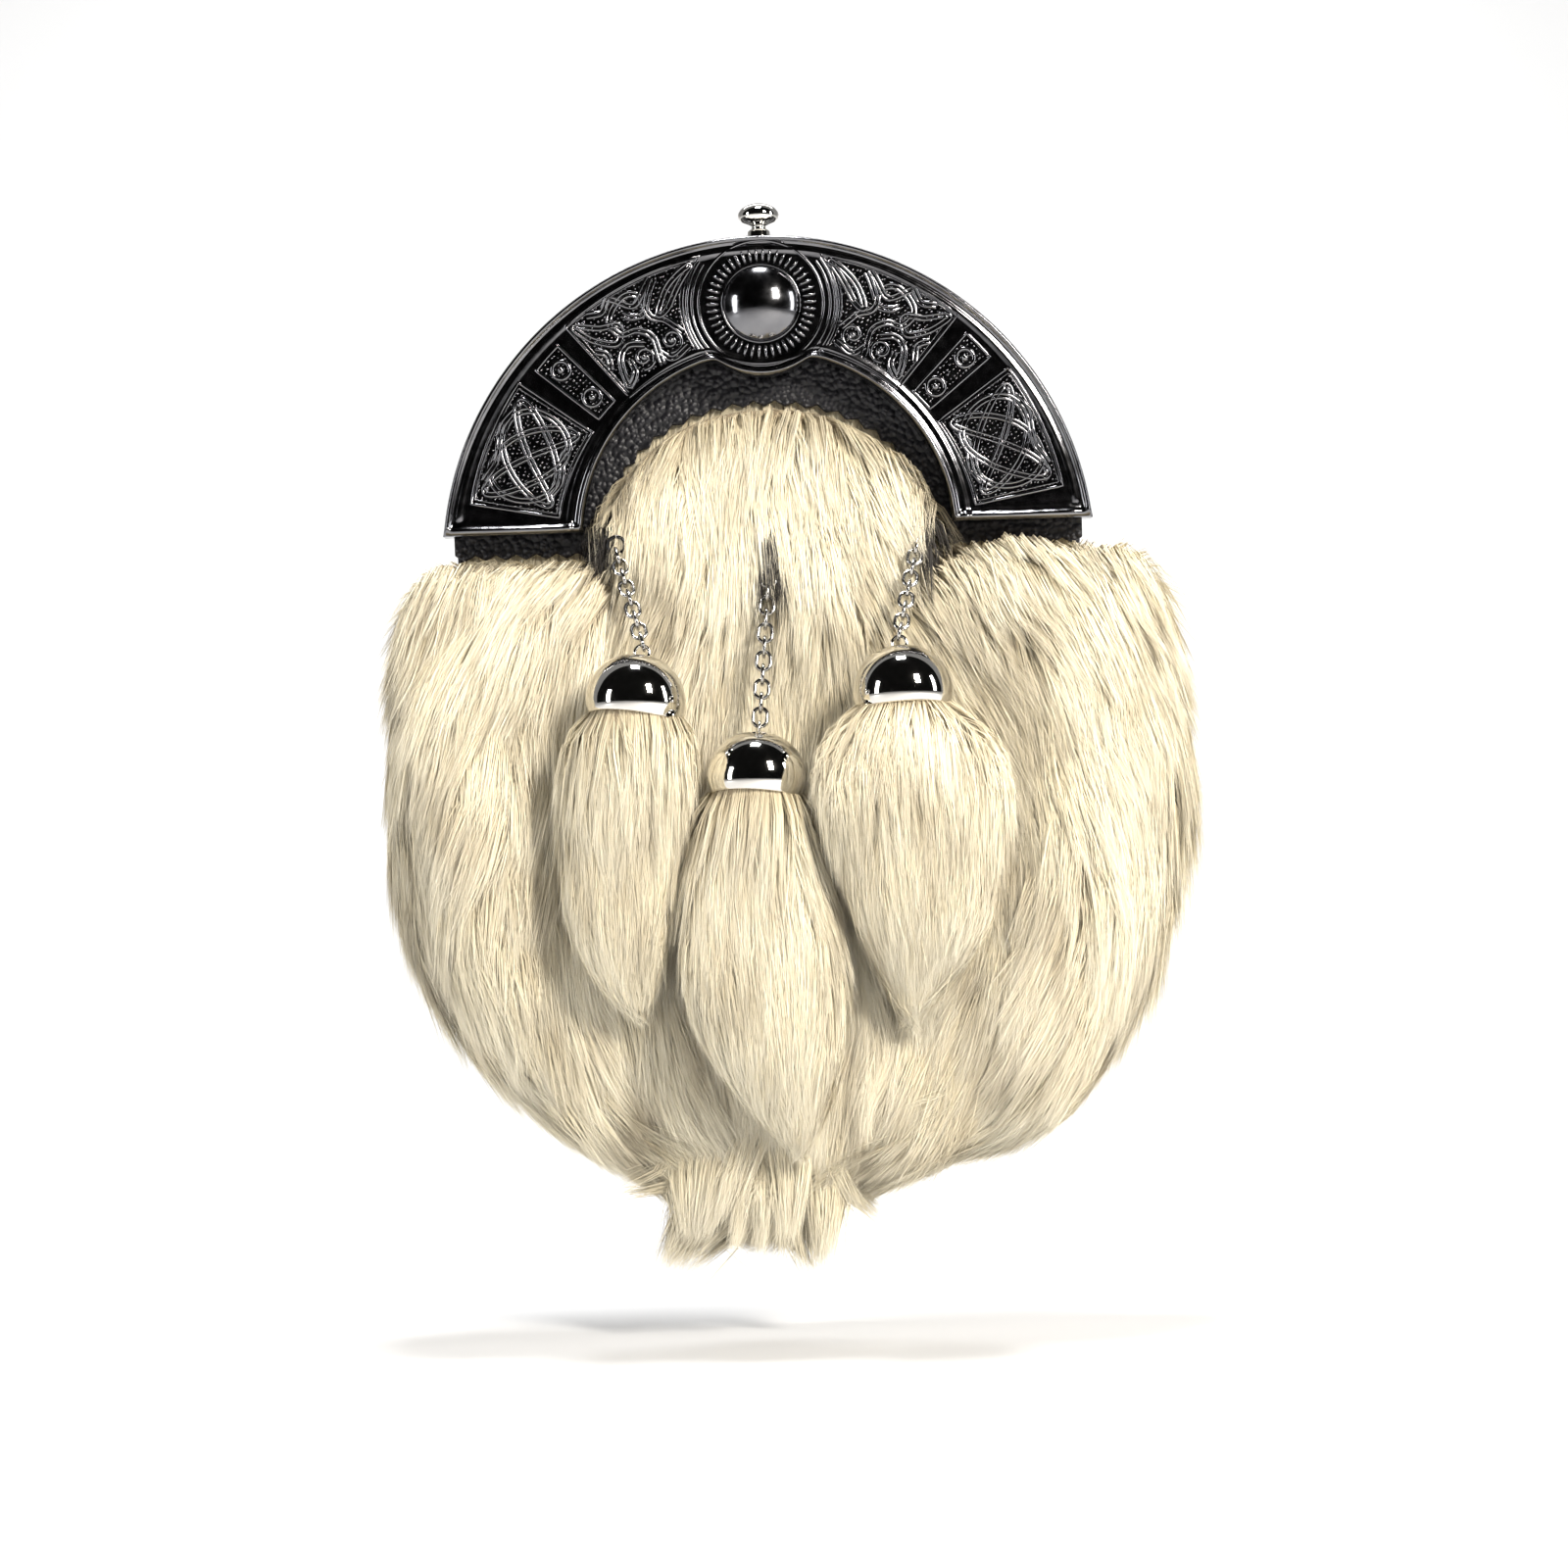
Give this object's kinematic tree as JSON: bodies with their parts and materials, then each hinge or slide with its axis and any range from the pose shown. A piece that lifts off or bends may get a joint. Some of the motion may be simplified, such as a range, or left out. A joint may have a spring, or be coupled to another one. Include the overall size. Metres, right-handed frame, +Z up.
{
  "type": "full-dress sporran pouch",
  "caption": "Fur-fronted sporran pouch with a cast arched cantle, push-button catch and fur tassels hung on chains from bell caps.",
  "frame": {"origin": "on the rear face of the back panel, midway between the two strap loops, on the line of the strap", "axes": "+Z up as worn, the fur front faces -Y, +X is the wearer's left"},
  "size_m": [0.194, 0.0731, 0.2446],
  "materials": {
    "cream_fur": "long cream fur pile lying downwards",
    "black_leather": "black pebbled leather, pinked edge on the front",
    "black_nickel": "polished black nickel on a casting, bright on the raised edges",
    "bright_nickel": "polished nickel plate"
  },
  "bodies": {
    "pouch": {"back_panel": "black_leather", "bell_cap_left": "bright_nickel", "bell_cap_middle": "bright_nickel", "bell_cap_right": "bright_nickel", "cantle": "black_nickel", "chain_left_link_01": "black_nickel", "chain_left_link_02": "black_nickel", "chain_left_link_03": "black_nickel", "chain_left_link_04": "black_nickel", "chain_left_link_05": "black_nickel", "chain_left_link_06": "black_nickel", "chain_left_link_07": "black_nickel", "chain_left_link_08": "black_nickel", "chain_left_link_09": "black_nickel", "chain_middle_link_01": "black_nickel", "chain_middle_link_02": "black_nickel", "chain_middle_link_03": "black_nickel", "chain_middle_link_04": "black_nickel", "chain_middle_link_05": "black_nickel", "chain_middle_link_06": "black_nickel", "chain_middle_link_07": "black_nickel", "chain_middle_link_08": "black_nickel", "chain_middle_link_09": "black_nickel", "chain_middle_link_10": "black_nickel", "chain_middle_link_11": "black_nickel", "chain_middle_link_12": "black_nickel", "chain_right_link_01": "black_nickel", "chain_right_link_02": "black_nickel", "chain_right_link_03": "black_nickel", "chain_right_link_04": "black_nickel", "chain_right_link_05": "black_nickel", "chain_right_link_06": "black_nickel", "chain_right_link_07": "black_nickel", "chain_right_link_08": "black_nickel", "chain_right_link_09": "black_nickel", "chain_staple_left": "black_nickel", "chain_staple_middle": "black_nickel", "chain_staple_right": "black_nickel", "front_leather": "black_leather", "fur_front": "cream_fur", "gusset": "black_leather", "strap_loop_left": "black_leather", "strap_loop_right": "black_leather", "tassel_left": "cream_fur", "tassel_middle": "cream_fur", "tassel_right": "cream_fur"},
    "button": {"push_button": "bright_nickel"}
  },
  "joints": [
    {"name": "button_press", "type": "slide", "parent": "pouch", "child": "button", "axis": [0, 0, -1], "range_m": [0, 0.0022], "stiffness_N_per_m": 900, "springref_m": -0.001}
  ]
}
